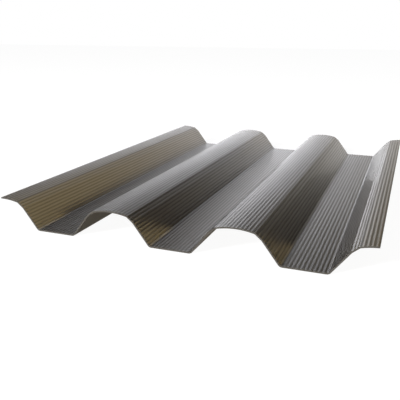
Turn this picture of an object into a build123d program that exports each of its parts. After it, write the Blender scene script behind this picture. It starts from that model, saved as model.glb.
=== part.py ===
"""A ribbed trapezoidal plastic roofing sheet, cut to a short length.

The sheet is one extruded section. Its waves run along Y, its pitches are counted along X and +Z is up.
The origin is at the middle of the sheet's box in X and Y, and on the plane that the valleys rest on.
All sizes are in millimetres.
"""
import os

from build123d import *

# Wave profile, measured on the underside
pitch = 76.0  # from one crown's centre line to the next
profile_depth = 18.0  # from the valleys up to the top of the crown's arch
crown_width = 22.0  # between the two creases that end the arch
crown_rise = 1.4  # how far the arch stands above its creases
shoulder_run = 3.8  # width across X of the flatter facet beside the crown
shoulder_drop = 3.1  # height of that facet
valley_width = 25.8  # floor of a valley, between the corners that its bends round off

# Bends of the underside
foot_radius = 2.8  # where a web meets a valley
crease_radius = 1.2  # where a shoulder meets the crown's arch
shoulder_radius = 3.0  # where a shoulder meets its web

# Sheet
full_crowns = 2  # whole waves between the two side edges
left_edge_reach = 1.0  # the left cut passes the outer crown's centre line by this much
right_edge_reach = -1.8  # the right cut stops short of its crown's centre line
sheet_length = 300.0
thickness = 0.8  # of the sheet below its ribs

# Fine ribs along the upper face
rib_pitch = 2.12  # over a crown and down both its sides
valley_rib_pitch = 2.35  # the valleys are stretched a little wider when the sheet is formed
rib_height = 0.2  # from the groove between two ribs up to the crest

# Derived positions
wave_count = full_crowns + 1
left_edge = -left_edge_reach
right_edge = wave_count * pitch + right_edge_reach
middle = (left_edge + right_edge) / 2

crease_height = profile_depth - crown_rise
shoulder_foot = crown_width / 2 + shoulder_run
shoulder_height = crease_height - shoulder_drop
web_foot = (pitch - valley_width) / 2
arch_radius = (crown_width**2 / 4 + crown_rise**2) / (2 * crown_rise)


def arch_height(distance):
    """Height of the crown's underside at a distance from its centre line."""
    return profile_depth - arch_radius + (arch_radius**2 - distance**2) ** 0.5


def crown_arc(crown, start, end):
    """The arch of one crown, between two distances from its centre line."""
    centre = crown * pitch - middle
    between = (start + end) / 2
    ThreePointArc(
        (centre + start, arch_height(start)),
        (centre + between, arch_height(between)),
        (centre + end, arch_height(end)),
    )


def valley_run(valley):
    """From one crown's right crease down across a valley and up to the next crown's left crease."""
    left = valley * pitch - middle
    right = left + pitch
    Polyline(
        (left + crown_width / 2, crease_height),
        (left + shoulder_foot, shoulder_height),
        (left + web_foot, 0),
        (right - web_foot, 0),
        (right - shoulder_foot, shoulder_height),
        (right - crown_width / 2, crease_height),
    )


def corners_at(height):
    """Corners of the line being drawn that lie at one height, to within a hundredth."""
    return vertices().filter_by_position(Axis.Y, height - 0.01, height + 0.01)


def point_above(face, distance, height):
    """The point that stands a height off the upper face, square to it, at a distance along it."""
    along = face.tangent_at(distance, position_mode=PositionMode.LENGTH)
    outward = Vector(-along.Y, along.X)
    if outward.Y < 0:
        outward = -outward
    return face.position_at(distance, position_mode=PositionMode.LENGTH) + outward * height


def rib_row(face, start, end, spacing):
    """A row of shallow ribs, side by side, between two distances along the upper face."""
    ribs = max(1, round((end - start) / spacing))
    width = (end - start) / ribs
    for rib in range(ribs):
        groove = start + rib * width
        Polyline(
            point_above(face, groove, 0),
            point_above(face, groove + width / 2, rib_height),
            point_above(face, groove + width, 0),
        )


def rib_rows(face):
    """One row of ribs on the floor of each valley, and one over each crown from foot to foot."""
    start = travelled = 0
    for facet in face.edges():
        level = abs(facet.tangent_at(0).Y) < 0.01 and abs(facet.tangent_at(1).Y) < 0.01
        if level:
            rib_row(face, start, travelled, rib_pitch)
            start = travelled + facet.length
            rib_row(face, travelled, start, valley_rib_pitch)
        travelled += facet.length
    rib_row(face, start, travelled, rib_pitch)


with BuildLine() as underside:
    crown_arc(0, -left_edge_reach, crown_width / 2)
    valley_run(0)
    for crown in range(1, wave_count):
        crown_arc(crown, -crown_width / 2, crown_width / 2)
        valley_run(crown)
    crown_arc(wave_count, -crown_width / 2, right_edge_reach)
    fillet(corners_at(0), radius=foot_radius)
    fillet(corners_at(crease_height), radius=crease_radius)
    fillet(corners_at(shoulder_height), radius=shoulder_radius)

with BuildLine() as upper_face:
    offset(underside.wire(), amount=thickness, side=Side.LEFT, kind=Kind.INTERSECTION, closed=False)

with BuildPart() as profiled_sheet:
    with BuildSketch(Plane.XZ):
        with BuildLine():
            add(underside.line)
            rib_rows(upper_face.wire())
            for side in (0, -1):
                lower_corner = underside.vertices().sort_by(Axis.X)[side]
                upper_corner = upper_face.vertices().sort_by(Axis.X)[side]
                Line(lower_corner, upper_corner)
        make_face()
    extrude(amount=sheet_length / 2, both=True)

profiled_sheet.part.label = "profiled_sheet"

os.makedirs("parts", exist_ok=True)
export_step(profiled_sheet.part, "parts/profiled_sheet.step")
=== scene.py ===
"""Looks of a ribbed trapezoidal plastic roofing sheet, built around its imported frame.

The file is laid out as a Blender add-on and run as a script. Every length is in metres.
"""
import math

import bpy
import numpy as np
from mathutils import Matrix, Vector


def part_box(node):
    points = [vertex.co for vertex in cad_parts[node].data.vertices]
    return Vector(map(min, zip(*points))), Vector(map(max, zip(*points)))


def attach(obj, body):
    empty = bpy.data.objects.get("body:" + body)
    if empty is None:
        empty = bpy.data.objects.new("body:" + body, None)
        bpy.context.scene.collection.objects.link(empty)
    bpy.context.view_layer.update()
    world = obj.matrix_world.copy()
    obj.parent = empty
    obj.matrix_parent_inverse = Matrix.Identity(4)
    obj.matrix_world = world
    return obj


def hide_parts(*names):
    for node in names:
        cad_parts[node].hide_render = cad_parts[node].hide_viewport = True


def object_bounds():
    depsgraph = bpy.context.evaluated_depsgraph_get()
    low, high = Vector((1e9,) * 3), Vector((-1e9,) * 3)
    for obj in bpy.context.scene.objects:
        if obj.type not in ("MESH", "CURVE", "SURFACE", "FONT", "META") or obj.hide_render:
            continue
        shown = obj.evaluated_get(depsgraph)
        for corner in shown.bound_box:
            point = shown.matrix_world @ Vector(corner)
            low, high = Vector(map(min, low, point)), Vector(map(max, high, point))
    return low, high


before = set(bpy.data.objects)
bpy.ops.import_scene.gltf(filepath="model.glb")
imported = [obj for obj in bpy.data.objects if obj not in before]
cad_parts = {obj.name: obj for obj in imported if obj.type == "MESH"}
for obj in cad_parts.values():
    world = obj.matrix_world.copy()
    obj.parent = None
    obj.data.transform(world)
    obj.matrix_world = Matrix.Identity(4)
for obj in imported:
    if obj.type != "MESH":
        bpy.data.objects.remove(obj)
cad_low, cad_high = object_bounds()

bl_info = {
    "name": "Trapezoidal plastic sheet",
    "version": (1, 0, 0),
    "blender": (4, 5, 0),
    "location": "3D View > Sidebar > Sheet",
    "description": "Makes a see-through ribbed roofing sheet and a plain studio around it",
    "category": "Add Mesh",
}

NODE = "profiled_sheet"
SLOT = "smoke_plastic"
MM = 0.001


def length_property(name, description, default):
    """A length in metres that the panel shows in the scene's unit."""
    return bpy.props.FloatProperty(
        name=name, description=description, default=default, subtype="DISTANCE", unit="LENGTH", precision=5
    )


def share_property(name, description, default):
    """A number from 0 to 1."""
    return bpy.props.FloatProperty(
        name=name, description=description, default=default, min=0.0, max=1.0, subtype="FACTOR"
    )


def colour_property(name, description, default):
    """A linear colour."""
    return bpy.props.FloatVectorProperty(
        name=name, description=description, default=default, size=3, min=0.0, max=1.0, subtype="COLOR"
    )


class SheetSizes(bpy.types.PropertyGroup):
    """Sizes of the wave section and of the fine ribs on it."""

    pitch: length_property("Pitch", "From one crown's centre line to the next", 76 * MM)
    profile_depth: length_property(
        "Profile depth", "From the valleys up to the top of the crown's arch", 18 * MM
    )
    crown_width: length_property("Crown width", "Between the two creases that end the arch", 22 * MM)
    crown_rise: length_property("Crown rise", "How far the arch stands above its creases", 1.4 * MM)
    shoulder_run: length_property("Shoulder run", "Width of the flatter facet beside the crown", 3.8 * MM)
    shoulder_drop: length_property("Shoulder drop", "Height of the flatter facet beside the crown", 3.1 * MM)
    valley_width: length_property("Valley width", "Flat floor of a valley, underneath", 25.8 * MM)
    left_edge_reach: length_property(
        "Left edge reach", "The left cut passes its crown's centre by this", 1.0 * MM
    )
    right_edge_reach: length_property(
        "Right edge reach", "The right cut passes its crown's centre by this", -1.8 * MM
    )
    thickness: length_property("Thickness", "Of the sheet below its ribs", 0.8 * MM)
    foot_radius: length_property("Foot radius", "Underneath, where a web meets a valley", 2.8 * MM)
    crease_radius: length_property(
        "Crease radius", "Underneath, where a shoulder meets the crown's arch", 1.2 * MM
    )
    shoulder_radius: length_property(
        "Shoulder radius", "Underneath, where a shoulder meets its web", 3.0 * MM
    )
    rib_pitch: length_property(
        "Rib pitch", "Between two ribs over a crown and down both its sides", 2.12 * MM
    )
    valley_rib_pitch: length_property("Valley rib pitch", "Between two ribs on the valleys", 2.35 * MM)
    rib_height: length_property("Rib height", "From a groove up to the crest beside it", 0.2 * MM)
    full_crowns: bpy.props.IntProperty(
        name="Full crowns", description="Whole waves between the two side edges", default=2, min=1, max=12
    )
    columns_per_rib: bpy.props.IntProperty(
        name="Columns per rib",
        description="How many strips of faces make up one rib",
        default=10,
        min=4,
        max=24,
    )
    rows: bpy.props.IntProperty(
        name="Rows", description="How many strips of faces run across the sheet", default=16, min=1, max=64
    )


class SheetFinish(bpy.types.PropertyGroup):
    """Colour and gloss of the plastic."""

    surface_tint: colour_property(
        "Surface tint", "What passing in and out of the skin leaves of white", (0.84, 0.78, 0.72)
    )
    # Painted shade: the tint is made darker in the grooves, so less light passes there
    painted_groove_tint: share_property("Groove tint", "The share of the tint that is left in a groove", 0.6)
    pass_colour: colour_property(
        "Pass colour", "What light on its way to the floor keeps at each skin", (0.79, 0.755, 0.70)
    )
    smoke_colour: colour_property(
        "Smoke colour", "Light that the smoke tint lets through best", (0.42, 0.34, 0.10)
    )
    smoke_density: bpy.props.FloatProperty(
        name="Smoke density",
        description="How strongly the tint absorbs, for each metre",
        default=2500.0,
        min=0.0,
    )
    # Painted shade: the bottom of each groove is mixed towards a dark matt colour
    painted_groove_shade: share_property(
        "Groove shade", "How much of the light the bottom of a groove swallows", 0.6
    )
    # The colour of the shade painted at the bottom of a groove
    painted_groove_colour: colour_property("Groove colour", "Of the dull bottom of a groove", (0.03, 0.026, 0.02))
    cut_colour: colour_property("Cut colour", "Of the sawn ends of the sheet", (0.046, 0.041, 0.034))
    gloss_roughness: share_property("Gloss roughness", "Of the sharper part of the skin's shine", 0.12)
    satin_roughness: share_property("Satin roughness", "Of the softer part of the skin's shine", 0.3)
    satin_share: share_property("Satin share", "How much of the shine is the softer part", 0.35)
    refraction: bpy.props.FloatProperty(
        name="Refractive index", description="Of polycarbonate", default=1.58, min=1.0, max=2.5
    )


class StudioSettings(bpy.types.PropertyGroup):
    """The pale floor, the surroundings and the lamps."""

    floor_colour: colour_property("Floor colour", "Of the matt floor", (0.9, 0.9, 0.9))
    surroundings: colour_property(
        "Surroundings", "What reflections and the camera see beyond the floor", (1.0, 1.0, 1.0)
    )
    ambient: share_property("Ambient", "Strength of the light from all round", 0.3)
    floor_glow: share_property("Floor glow", "How far the camera sees the floor as pure white", 0.9)
    mirrored_shade: share_property(
        "Mirrored shade", "The floor's glow under the sheet, in a reflection", 0.12
    )
    shadow_softness: length_property(
        "Shadow softness", "Width of the edge of the shade under the sheet", 20 * MM
    )
    open_side: length_property(
        "Open side", "How far in from a side edge the floor under the sheet is fully lit", 25 * MM
    )
    white_level: bpy.props.FloatProperty(
        name="White level", description="Brightness of the floor's glow to the camera", default=1.05, min=0.0
    )
    overhead_power: bpy.props.FloatProperty(
        name="Overhead power", description="Of the soft lamp above", default=1.5, unit="POWER"
    )
    front_power: bpy.props.FloatProperty(
        name="Front power", description="Of the low lamp in front, on the left", default=95.0, unit="POWER"
    )


# A bend that turns down by more than this is a crease, and by less the bend between a shoulder and its web
CREASE_TURN = math.radians(20)
# In how many steps the middle line of the section is added up
MIDDLE_LINE_STEPS = 60000
# The ribs are slightly uneven, down to this share of their height
RIB_SEED = 7
LOWEST_RIB = 0.85
# A mesh is shaded smooth except where its faces meet at more than this
SHARP_ANGLE = math.radians(50)

# The plastic's patterns, with the spots for each metre as their scale: streaks drawn along the sheet, cloudy
# haze, and fine ripples, which are a bump
STREAK_STRETCH = (900.0, 5.0, 900.0)
STREAKS = {"Scale": 1.0, "Detail": 3.0}
HAZE = {"Scale": 22.0, "Detail": 4.0}
RIPPLES = {"Scale": 130.0, "Detail": 2.0}
RIPPLE_BUMP = {"Strength": 0.1, "Distance": 0.01 * MM}
# How far streaks, haze and grooves each take the colour from the surface tint to the darker groove tint; in
# the grooves this is painted shade
STREAK_TINT_SHARE = 0.1
HAZE_TINT_SHARE = 0.1
PAINTED_GROOVE_TINT_SHARE = 0.8
# How much roughness the streaks and the haze add
STREAK_ROUGHNESS = 0.02
HAZE_ROUGHNESS = 0.03
# Roughness of the matt sawn ends and of the shade painted at the bottom of the grooves
DULL_ROUGHNESS = 0.6

# How far the floor goes on every side of the sheet's middle
FLOOR_REACH = 4.0

# What reflections and the plastic show beyond the backdrop: (degrees right of +Y, brightness)
ROOM_ROUND = ((-180, 1.6), (-90, 1.4), (-60, 0.8), (-20, 0.3), (50, 0.2), (90, 1.0), (180, 1.6))
# The share of it that is left at a height above level: (sine of the height, share)
ROOM_UPWARD = ((0.0, 1.0), (0.35, 0.9), (0.6, 0.6), (1.0, 0.5))

# The backdrop, an upright panel that only reflections and the view through the plastic show. The point of it
# that is nearest to the sheet's middle lies this angle to the right of +Y, at this distance. Its ends are
# given in metres to the right of that point.
BACKDROP_TURN = math.radians(30)
BACKDROP_DISTANCE = 0.344
BACKDROP_ENDS = (-2.2, 0.7)
BACKDROP_HEIGHT = 1.0
# Its brightness falls from left to right, along lines that lean this far for each metre up
BACKDROP_LEAN = 0.35
# Brightness across it: (metres to the right of its nearest point, level)
BACKDROP_ACROSS = (
    (-1.8, 0.64),
    (-0.85, 1.48),
    (-0.42, 1.8),
    (-0.24, 1.7),
    (-0.13, 1.07),
    (-0.07, 0.83),
    (-0.01, 0.43),
    (0.04, 0.25),
    (0.13, 0.15),
    (0.24, 0.08),
    (0.4, 0.05),
    (0.65, 0.05),
)
# and up it: (metres above the floor, level)
BACKDROP_UP = (
    (0, 1.8),
    (0.02, 1.4),
    (0.05, 1.2),
    (0.1, 1.14),
    (0.15, 0.99),
    (0.2, 0.83),
    (0.26, 0.68),
    (0.33, 0.53),
    (0.42, 0.5),
    (0.6, 0.48),
    (0.9, 0.3),
)
# The ramp across it spans this many metres, and the panel's nearest point lies at this place on the ramp
ACROSS_RAMP_LENGTH = 3
ACROSS_RAMP_NEAREST = 0.7
# Its colour where it is dim and where it is bright. The share of the bright one is the slope times its level
# across, less the start.
BACKDROP_DIM = (1.0, 0.93, 0.80, 1.0)
BACKDROP_BRIGHT = (0.985, 0.985, 1.02, 1.0)
TONE_SLOPE = 1.2
TONE_START = 0.4

# The two lamps: where each stands and how wide it is. Both face the sheet's middle.
OVERHEAD_PLACE = (-0.3, 0.4, 1.1)
OVERHEAD_WIDTH = 0.9
FRONT_PLACE = (-0.9, -1.9, 0.95)
FRONT_WIDTH = 0.25


def wave_facets(sizes):
    """Facets of the underside from left to right, as (length, heading at start, heading at end).

    The heading is the angle of the section above level. A crown is a circular arc, so its heading falls
    evenly from one crease to the other, and every other facet keeps one heading.
    """
    half_crown = sizes.crown_width / 2
    arch_radius = (half_crown**2 + sizes.crown_rise**2) / (2 * sizes.crown_rise)
    crease_angle = math.asin(half_crown / arch_radius)
    shoulder_angle = math.atan2(sizes.shoulder_drop, sizes.shoulder_run)
    shoulder_length = math.hypot(sizes.shoulder_drop, sizes.shoulder_run)
    web_height = sizes.profile_depth - sizes.crown_rise - sizes.shoulder_drop
    web_run = (sizes.pitch - sizes.valley_width) / 2 - half_crown - sizes.shoulder_run
    web_angle = math.atan2(web_height, web_run)
    web_length = math.hypot(web_height, web_run)

    def crown(start, end):
        """The arch from one heading to a lower one."""
        return (arch_radius * (start - end), start, end)

    shoulder_up = (shoulder_length, shoulder_angle, shoulder_angle)
    shoulder_down = (shoulder_length, -shoulder_angle, -shoulder_angle)
    web_up = (web_length, web_angle, web_angle)
    web_down = (web_length, -web_angle, -web_angle)
    floor = (sizes.valley_width, 0.0, 0.0)
    valley = [shoulder_down, web_down, floor, web_up, shoulder_up]

    left_heading = math.asin(sizes.left_edge_reach / arch_radius)
    right_heading = -math.asin(sizes.right_edge_reach / arch_radius)
    facets = [crown(left_heading, -crease_angle)]
    for _ in range(sizes.full_crowns):
        facets += valley + [crown(crease_angle, -crease_angle)]
    return facets + valley + [crown(crease_angle, right_heading)]


def bend_radius(sizes, turn):
    """Radius of a bend in the middle of the wall.

    The angle that it turns through tells a foot, which turns upwards, from a crease and from the slight
    bend between a shoulder and its web. A foot bends round a centre above the sheet, the others round one
    below it.
    """
    half_wall = sizes.thickness / 2
    if turn > 0:
        return sizes.foot_radius - half_wall
    if turn < -CREASE_TURN:
        return sizes.crease_radius + half_wall
    return sizes.shoulder_radius + half_wall


def section_heading(sizes):
    """Knots of the heading along the middle of the wall, the end of each row of ribs, and the ribs up to it.

    Moving a facet from the underside to the middle of the wall shortens it by half the thickness times the
    tangent of half the turn at each end. A bend of radius r then takes r times that tangent from both its
    facets and gives back an arc r times the turn long.
    """
    facets = wave_facets(sizes)
    half_wall = sizes.thickness / 2
    turns = [after[1] - before[2] for before, after in zip(facets, facets[1:])]
    turns = [0.0, *turns, 0.0]
    travelled = 0.0
    places, headings = [0.0], [facets[0][1]]
    row_ends, ribs_there = [0.0], [0]

    def end_row(place, spacing):
        """A row of ribs from the last row's end to a place."""
        row_ends.append(place)
        ribs_there.append(ribs_there[-1] + max(1, round((place - row_ends[-2]) / spacing)))

    for number, (length, start, end) in enumerate(facets):
        curvature = (end - start) / length
        shift = half_wall * (math.tan(turns[number] / 2) + math.tan(turns[number + 1] / 2))
        middle_length = length * (1 - half_wall * curvature) - shift
        cuts = [bend_radius(sizes, turn) * math.tan(abs(turn) / 2) for turn in turns[number : number + 2]]
        headings[-1] += curvature * cuts[0]
        is_floor = start == end == 0.0
        if is_floor:
            end_row(travelled, sizes.rib_pitch)
        travelled += middle_length - cuts[0] - cuts[1]
        places.append(travelled)
        headings.append(end - curvature * cuts[1])
        if is_floor:
            end_row(travelled, sizes.valley_rib_pitch)
        if number + 1 < len(facets):
            travelled += bend_radius(sizes, turns[number + 1]) * abs(turns[number + 1])
            places.append(travelled)
            headings.append(facets[number + 1][1])
    end_row(travelled, sizes.rib_pitch)
    return np.array(places), np.array(headings), np.array(row_ends), np.array(ribs_there)


def running_sum(values, step):
    """Trapezium-rule integral of values taken every step, starting at nought."""
    return np.concatenate([[0.0], np.cumsum((values[1:] + values[:-1]) / 2) * step])


def ribbed_section(sizes):
    """Upper and lower edge of the section, as arrays of (x, z) with the same number of points, and the crest.

    The middle line is the integral of (cos, sin) of its heading. The lower edge lies half the thickness below
    it, square to it. The upper edge lies half the thickness above it, and each rib adds its height times
    its crest, which is 1 - |1 - 2 * phase| where the phase runs from 0 to 1 across the rib.
    """
    places, headings, row_ends, ribs_there = section_heading(sizes)
    fine = np.linspace(0.0, places[-1], MIDDLE_LINE_STEPS + 1)
    step = fine[1] - fine[0]
    fine_heading = np.interp(fine, places, headings)
    fine_x = running_sum(np.cos(fine_heading), step)
    fine_z = running_sum(np.sin(fine_heading), step)

    rib_total = int(ribs_there[-1])
    phase = np.linspace(0.0, rib_total, rib_total * sizes.columns_per_rib + 1)
    along = np.interp(phase, ribs_there, row_ends)
    heading = np.interp(along, places, headings)
    x = np.interp(along, fine, fine_x)
    z = np.interp(along, fine, fine_z)

    evenness = np.random.default_rng(RIB_SEED).uniform(LOWEST_RIB, 1.0, rib_total + 1)
    crest = 1 - np.abs(1 - 2 * (phase % 1))
    relief = sizes.rib_height * evenness[phase.astype(int)] * crest
    square = np.stack([-np.sin(heading), np.cos(heading)], axis=1)
    middle = np.stack([x, z], axis=1)
    upper = middle + square * (sizes.thickness / 2 + relief)[:, None]
    lower = middle - square * sizes.thickness / 2
    centre = (lower[0, 0] + lower[-1, 0]) / 2
    shift = np.array([centre, lower[:, 1].min()])
    return upper - shift, lower - shift, crest


def carry_along(upper, lower, start, end, rows):
    """Closed mesh of a section carried from y = start to y = end, as vertices and quads that face outwards.

    Point (i, j) of the skin is the i-th point of the loop upper + reversed lower, at row j. The two ends are
    strips of quads between the upper and the lower edge.
    """
    loop = np.concatenate([upper, lower[::-1]])
    around = len(loop)
    across = len(upper)
    y = np.linspace(start, end, rows + 1)
    vertices = np.empty((rows + 1, around, 3))
    vertices[:, :, 0] = loop[:, 0]
    vertices[:, :, 1] = y[:, None]
    vertices[:, :, 2] = loop[:, 1]

    i, j = np.meshgrid(np.arange(around), np.arange(rows))
    after = (i + 1) % around
    this_row, next_row = j * around, (j + 1) * around
    skin = np.stack([i + this_row, after + this_row, after + next_row, i + next_row], axis=-1)
    top = np.arange(across - 1)
    under = around - 1 - top
    near_end = np.stack([under, under - 1, top + 1, top], axis=-1)
    far_end = near_end[:, ::-1] + rows * around
    return vertices.reshape(-1, 3), np.concatenate([skin.reshape(-1, 4), near_end, far_end])


def mark(piece, name, domain, values):
    """An attribute of a piece that its material reads: one number for each point or each face."""
    attribute = piece.data.attributes.new(name, "FLOAT", domain)
    attribute.data.foreach_set("value", values)


def mark_crests(piece, crest, rows):
    """Mark each point with the crest along the upper edge and 1 along the lower, the same at every row."""
    loop = np.concatenate([crest, np.ones(len(crest))])
    mark(piece, "rib_crest", "POINT", np.tile(loop, rows + 1))


def mark_cut_ends(piece, columns):
    """Mark each face with 1 on the two cut ends, which come last in the mesh, and with 0 on the skin."""
    cut = np.zeros(len(piece.data.polygons))
    cut[-2 * columns :] = 1.0
    mark(piece, "cut_end", "FACE", cut)


def mesh_object(name, vertices, quads, material):
    """A smooth mesh object at the origin, with crisp edges only where its faces meet at a corner."""
    mesh = bpy.data.meshes.new(name)
    mesh.vertices.add(len(vertices))
    mesh.vertices.foreach_set("co", vertices.ravel())
    mesh.loops.add(quads.size)
    mesh.loops.foreach_set("vertex_index", quads.ravel())
    mesh.polygons.add(len(quads))
    mesh.polygons.foreach_set("loop_start", np.arange(0, quads.size, 4))
    mesh.update(calc_edges=True)
    mesh.polygons.foreach_set("use_smooth", np.ones(len(quads), dtype=bool))
    mesh.set_sharp_from_angle(angle=SHARP_ANGLE)
    mesh.validate()
    mesh.materials.append(material)
    piece = bpy.data.objects.new(name, mesh)
    bpy.context.scene.collection.objects.link(piece)
    return piece


def flat_panel(name, corners, material):
    """A mesh object of one face, whose corners run anticlockwise as seen from its front."""
    return mesh_object(name, np.array(corners), np.array([[0, 1, 2, 3]]), material)


class Number:
    """A socket that carries one number. A sum or product on it adds a Math node."""

    def __init__(self, maker, socket):
        self.maker = maker
        self.socket = socket

    def sum_node(self, operation, first, second):
        return self.maker.number("ShaderNodeMath", {"operation": operation}, {0: first, 1: second})

    def __add__(self, other):
        return self.sum_node("ADD", self, other)

    def __mul__(self, other):
        return self.sum_node("MULTIPLY", self, other)

    def __sub__(self, other):
        return self.sum_node("SUBTRACT", self, other)

    def __rsub__(self, other):
        return self.sum_node("SUBTRACT", other, self)

    __radd__ = __add__
    __rmul__ = __mul__

    def share_beyond(self, reach, softness):
        """0 while the number is within a reach of nought on either side, and 1 from a softness further on."""
        size = self.maker.number("ShaderNodeMath", {"operation": "ABSOLUTE"}, {0: self})
        settings = {"operation": "MULTIPLY_ADD", "use_clamp": True}
        ramp = {0: size, 1: 1 / softness, 2: -reach / softness}
        return self.maker.number("ShaderNodeMath", settings, ramp)


class ShaderMaker:
    """Adds nodes to one emptied node tree."""

    def __init__(self, tree):
        self.tree = tree
        tree.nodes.clear()

    def node(self, kind, settings=None, inputs=None):
        """A node of one kind: its settings first, then a value or a link for each of the sockets named."""
        node = self.tree.nodes.new(kind)
        for setting, value in (settings or {}).items():
            if setting == "stops":
                self.set_stops(node.color_ramp, value)
            else:
                setattr(node, setting, value)
        for key, value in (inputs or {}).items():
            source = value.socket if isinstance(value, Number) else value
            if isinstance(source, bpy.types.NodeSocket):
                self.tree.links.new(source, node.inputs[key])
            else:
                node.inputs[key].default_value = source
        return node

    def set_stops(self, ramp, stops):
        """Grey stops of a colour ramp, each as (position, level)."""
        ramp.elements.remove(ramp.elements[1])
        for number, (position, level) in enumerate(stops):
            stop = ramp.elements[0] if number == 0 else ramp.elements.new(position)
            stop.position = position
            stop.color = (level, level, level, 1.0)

    def number(self, kind, settings=None, inputs=None, output=0):
        """A node of which one output is used, as a Number."""
        return Number(self, self.node(kind, settings, inputs).outputs[output])

    def shader(self, kind, inputs):
        """A shader without settings, as its output socket."""
        return self.node(kind, {}, inputs).outputs[0]

    def mixed_shader(self, share, first, second):
        """A shader, with a share of it given over to a second one."""
        return self.shader("ShaderNodeMixShader", {0: share, 1: first, 2: second})

    def mixed_colour(self, share, first, second):
        """A colour, with a share of it given over to a second one."""
        mix = self.node("ShaderNodeMix", {"data_type": "RGBA"}, {"Factor": share, "A": first, "B": second})
        return mix.outputs["Result"]

    def level(self, place, stops):
        """The level that a ramp of grey stops has at a place on it."""
        return self.number("ShaderNodeValToRGB", {"stops": stops}, {0: place})

    def parts(self, vector):
        """The three parts of a vector, as Numbers."""
        outputs = self.node("ShaderNodeSeparateXYZ", {}, {0: vector}).outputs
        return [Number(self, part) for part in outputs]

    def seen_by(self, *kinds):
        """1 for a ray of any of the kinds, 0 for any other. A ray can be of two kinds at once."""
        rays = self.node("ShaderNodeLightPath").outputs
        missed = 1
        for kind in kinds:
            missed = (1 - Number(self, rays[f"Is {kind} Ray"])) * missed
        return 1 - missed


def new_material(name):
    """A material, the maker of its nodes, and the place on the surface that its patterns read."""
    material = bpy.data.materials.new(name)
    material.use_nodes = True
    maker = ShaderMaker(material.node_tree)
    return material, maker, maker.node("ShaderNodeTexCoord").outputs["Object"]


def smoke_plastic(finish):
    """Glossy see-through plastic, smoke-brown, with streaks along the ribs, a haze and a faint unevenness.

    A shade is painted into the bottoms of its grooves, in what they reflect and in what they let through,
    and its sawn ends are dull. Light on its way to what lies beneath passes straight through, and takes only
    the pass colour at each skin and the smoke colour between them.
    """
    material, maker, place = new_material(SLOT)

    def noise(vector, pattern):
        """A cloudy pattern that runs from 0 to 1."""
        return maker.number("ShaderNodeTexNoise", {}, {"Vector": vector, **pattern})

    def attribute(name):
        """A number that the mesh keeps for each point or face."""
        return maker.number("ShaderNodeAttribute", {"attribute_name": name}, output="Fac")

    stretched = maker.node("ShaderNodeMapping", {}, {"Vector": place, "Scale": STREAK_STRETCH}).outputs[0]
    streaks = noise(stretched, STREAKS)
    haze = noise(place, HAZE)
    groove = 1 - attribute("rib_crest")
    # Painted shade: the tint in a groove is darker than on a crest
    painted_groove_tint = tuple(channel * finish.painted_groove_tint for channel in finish.surface_tint)
    tint = maker.mixed_colour(
        streaks * STREAK_TINT_SHARE + haze * HAZE_TINT_SHARE + groove * PAINTED_GROOVE_TINT_SHARE,
        (*finish.surface_tint, 1.0),
        (*painted_groove_tint, 1.0),
    )
    bump = maker.node("ShaderNodeBump", {}, {"Height": noise(place, RIPPLES), **RIPPLE_BUMP}).outputs[0]

    def skin(roughness):
        """One way in which the skin reflects and passes light, as sharply as its roughness lets it."""
        inputs = {
            "Base Color": tint,
            "Roughness": streaks * STREAK_ROUGHNESS + haze * HAZE_ROUGHNESS + roughness,
            "IOR": finish.refraction,
            "Transmission Weight": 1.0,
            "Normal": bump,
        }
        return maker.shader("ShaderNodeBsdfPrincipled", inputs)

    def dull(colour):
        """A matt surface that lets no light through: the sawn ends, and the shade painted at the bottom of a
        groove.
        """
        inputs = {"Base Color": (*colour, 1.0), "Roughness": DULL_ROUGHNESS}
        return maker.shader("ShaderNodeBsdfPrincipled", inputs)

    gloss, satin = skin(finish.gloss_roughness), skin(finish.satin_roughness)
    surface = maker.mixed_shader(finish.satin_share, gloss, satin)
    # Painted shade: the bottom of each groove is mixed towards a dark matt colour, in reflection and
    # transmission
    painted_shade_share = groove * groove * finish.painted_groove_shade
    surface = maker.mixed_shader(painted_shade_share, surface, dull(finish.painted_groove_colour))
    surface = maker.mixed_shader(attribute("cut_end"), surface, dull(finish.cut_colour))
    rays = maker.node("ShaderNodeLightPath").outputs
    clear = maker.shader("ShaderNodeBsdfTransparent", {"Color": (*finish.pass_colour, 1.0)})
    for kind in ("Is Diffuse Ray", "Is Shadow Ray"):
        surface = maker.mixed_shader(rays[kind], surface, clear)
    smoke = {"Color": (*finish.smoke_colour, 1.0), "Density": finish.smoke_density}
    body = maker.shader("ShaderNodeVolumeAbsorption", smoke)
    maker.node("ShaderNodeOutputMaterial", {}, {"Surface": surface, "Volume": body})
    return material


def matt_floor(studio):
    """Pale matt floor that the camera sees as near white, with the sheet's shadow still on it.

    Through the plastic and in its reflections, the floor beyond the sheet looks white too. Under the sheet
    it is as bright as the lamps make it, or in a reflection somewhat brighter.
    """
    material, maker, place = new_material("matt_floor")
    x, y, _ = maker.parts(place)
    half_width, half_length = (cad_high.x - cad_low.x) / 2, (cad_high.y - cad_low.y) / 2
    beside = x.share_beyond(half_width - studio.open_side, studio.shadow_softness)
    beyond = y.share_beyond(half_length, studio.shadow_softness)
    unshaded = 1 - (1 - beside) * (1 - beyond)
    passing = maker.seen_by("Transmission")
    mirrored = maker.seen_by("Glossy") * (1 - passing)
    seen_white = maker.seen_by("Camera") + passing * unshaded
    seen_white = seen_white + mirrored * (unshaded * (1 - studio.mirrored_shade) + studio.mirrored_shade)
    matt = maker.shader("ShaderNodeBsdfDiffuse", {"Color": (*studio.floor_colour, 1.0)})
    white = {"Color": (*studio.surroundings, 1.0), "Strength": studio.white_level}
    glow = maker.shader("ShaderNodeEmission", white)
    surface = maker.mixed_shader(seen_white * studio.floor_glow, matt, glow)
    maker.node("ShaderNodeOutputMaterial", {}, {"Surface": surface})
    return material


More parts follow.
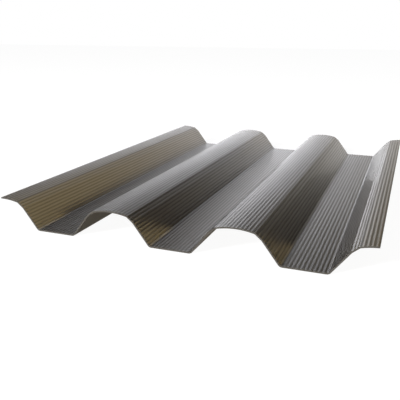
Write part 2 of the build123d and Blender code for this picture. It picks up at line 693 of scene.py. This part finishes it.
def backdrop_glow():
    """Light of the backdrop: one ramp across it, along leaning lines, times one up it."""
    material, maker, place = new_material("backdrop_glow")
    x, y, z = maker.parts(place)
    across = x * math.cos(BACKDROP_TURN) - y * math.sin(BACKDROP_TURN) + z * BACKDROP_LEAN
    nearest, scale = ACROSS_RAMP_NEAREST, 1 / ACROSS_RAMP_LENGTH
    across_stops = [(metres * scale + nearest, level) for metres, level in BACKDROP_ACROSS]
    across_level = maker.level(across * scale + nearest, across_stops)
    up_level = maker.level(z, BACKDROP_UP)
    tone = maker.mixed_colour(across_level * TONE_SLOPE - TONE_START, BACKDROP_DIM, BACKDROP_BRIGHT)
    glow = maker.shader("ShaderNodeEmission", {"Color": tone, "Strength": across_level * up_level})
    maker.node("ShaderNodeOutputMaterial", {}, {"Surface": glow})
    material.cycles.emission_sampling = "NONE"
    return material


def white_surroundings(studio):
    """A world that the camera sees as white, reflections see as a room, and matt surfaces as an even light.

    The room's brightness is one ramp over the compass angle of a ray, once round from -180 to 180 degrees,
    times one over its height above level.
    """
    world = bpy.data.worlds.new("surroundings")
    bpy.context.scene.world = world
    world.use_nodes = True
    maker = ShaderMaker(world.node_tree)
    rightward, forward, upward = maker.parts(maker.node("ShaderNodeTexCoord").outputs["Generated"])
    compass = maker.number("ShaderNodeMath", {"operation": "ARCTAN2"}, {0: rightward, 1: forward})
    round_stops = [(degrees / 360 + 0.5, level) for degrees, level in ROOM_ROUND]
    round_level = maker.level(compass * (0.5 / math.pi) + 0.5, round_stops)
    room = round_level * maker.level(upward, ROOM_UPWARD)
    mirrored = maker.seen_by("Glossy", "Transmission") * (room - studio.ambient) + studio.ambient
    strength = maker.seen_by("Camera") * (1 - mirrored) + mirrored
    light = {"Color": (*studio.surroundings, 1.0), "Strength": strength}
    maker.node("ShaderNodeOutputWorld", {}, {"Surface": maker.shader("ShaderNodeBackground", light)})


def soft_lamp(name, place, width, power):
    """A square area lamp that faces the sheet's middle and that neither reflections nor the plastic show."""
    lamp = bpy.data.lights.new(name, "AREA")
    lamp.shape = "SQUARE"
    lamp.size = width
    lamp.energy = power
    holder = bpy.data.objects.new(name, lamp)
    facing = (-Vector(place)).to_track_quat("-Z", "Y").to_matrix().to_4x4()
    holder.matrix_world = Matrix.Translation(place) @ facing
    holder.visible_glossy = False
    holder.visible_transmission = False
    bpy.context.scene.collection.objects.link(holder)


def photograph_camera():
    """The camera that the sheet's edges in the photograph give: its place, its direction and its lens."""
    sensor_width_mm = 36.0
    lens_mm = 49.67
    place = (120.74 * MM, -414.81 * MM, 118.22 * MM)
    turned_left = math.radians(20.89)
    tilted_down = math.radians(16.92)
    rolled = math.radians(0.25)
    camera = bpy.data.cameras.new("camera")
    camera.sensor_width = sensor_width_mm
    camera.lens = lens_mm
    holder = bpy.data.objects.new("camera", camera)
    holder.matrix_world = (
        Matrix.Translation(place)
        @ Matrix.Rotation(turned_left, 4, "Z")
        @ Matrix.Rotation(math.radians(90) - tilted_down, 4, "X")
        @ Matrix.Rotation(rolled, 4, "Z")
    )
    bpy.context.scene.collection.objects.link(holder)
    bpy.context.scene.camera = holder


class OBJECT_OT_ribbed_sheet(bpy.types.Operator):
    """Make the see-through ribbed sheet in place of its plain node"""

    bl_idname = "object.ribbed_sheet"
    bl_label = "Ribbed sheet"

    def execute(self, context):
        sizes = context.scene.sheet_sizes
        low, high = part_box(NODE)
        upper, lower, crest = ribbed_section(sizes)
        vertices, quads = carry_along(upper, lower, low.y, high.y, sizes.rows)
        piece = mesh_object("ribbed_sheet", vertices, quads, smoke_plastic(context.scene.sheet_finish))
        mark_crests(piece, crest, sizes.rows)
        mark_cut_ends(piece, len(crest) - 1)
        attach(piece, "root")
        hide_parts(NODE)
        return {"FINISHED"}


class SCENE_OT_studio(bpy.types.Operator):
    """Lay the pale floor, light it softly and set up the camera"""

    bl_idname = "scene.studio"
    bl_label = "Studio"

    def execute(self, context):
        studio = context.scene.studio_settings
        reach = FLOOR_REACH
        corners = [(-reach, -reach, 0.0), (reach, -reach, 0.0), (reach, reach, 0.0), (-reach, reach, 0.0)]
        floor = flat_panel("floor", corners, matt_floor(studio))
        rightwards = np.array([math.cos(BACKDROP_TURN), -math.sin(BACKDROP_TURN), 0.0])
        backwards = np.array([math.sin(BACKDROP_TURN), math.cos(BACKDROP_TURN), 0.0])
        upwards = np.array([0.0, 0.0, BACKDROP_HEIGHT])
        left, right = (backwards * BACKDROP_DISTANCE + rightwards * end for end in BACKDROP_ENDS)
        backdrop = flat_panel("backdrop", [left, right, right + upwards, left + upwards], backdrop_glow())
        backdrop.visible_camera = False
        backdrop.visible_diffuse = False
        backdrop.visible_shadow = False
        white_surroundings(studio)
        soft_lamp("overhead_lamp", OVERHEAD_PLACE, OVERHEAD_WIDTH, studio.overhead_power)
        soft_lamp("front_lamp", FRONT_PLACE, FRONT_WIDTH, studio.front_power)
        photograph_camera()
        context.scene.view_settings.view_transform = "Standard"
        return {"FINISHED"}


class VIEW3D_PT_sheet(bpy.types.Panel):
    """Lists the sheet's operators and settings"""

    bl_label = "Trapezoidal sheet"
    bl_idname = "VIEW3D_PT_sheet"
    bl_space_type = "VIEW_3D"
    bl_region_type = "UI"
    bl_category = "Sheet"

    def draw(self, context):
        scene = context.scene
        for settings in (scene.sheet_sizes, scene.sheet_finish, scene.studio_settings):
            box = self.layout.box()
            for name in settings.__annotations__:
                box.prop(settings, name)
        for operator in (OBJECT_OT_ribbed_sheet, SCENE_OT_studio):
            self.layout.operator(operator.bl_idname)


CLASSES = (
    SheetSizes,
    SheetFinish,
    StudioSettings,
    OBJECT_OT_ribbed_sheet,
    SCENE_OT_studio,
    VIEW3D_PT_sheet,
)


def register():
    for each in CLASSES:
        bpy.utils.register_class(each)
    bpy.types.Scene.sheet_sizes = bpy.props.PointerProperty(type=SheetSizes)
    bpy.types.Scene.sheet_finish = bpy.props.PointerProperty(type=SheetFinish)
    bpy.types.Scene.studio_settings = bpy.props.PointerProperty(type=StudioSettings)


def unregister():
    del bpy.types.Scene.studio_settings
    del bpy.types.Scene.sheet_finish
    del bpy.types.Scene.sheet_sizes
    for each in reversed(CLASSES):
        bpy.utils.unregister_class(each)


def main():
    register()
    bpy.ops.object.ribbed_sheet()
    bpy.ops.scene.studio()


if __name__ == "__main__":
    main()
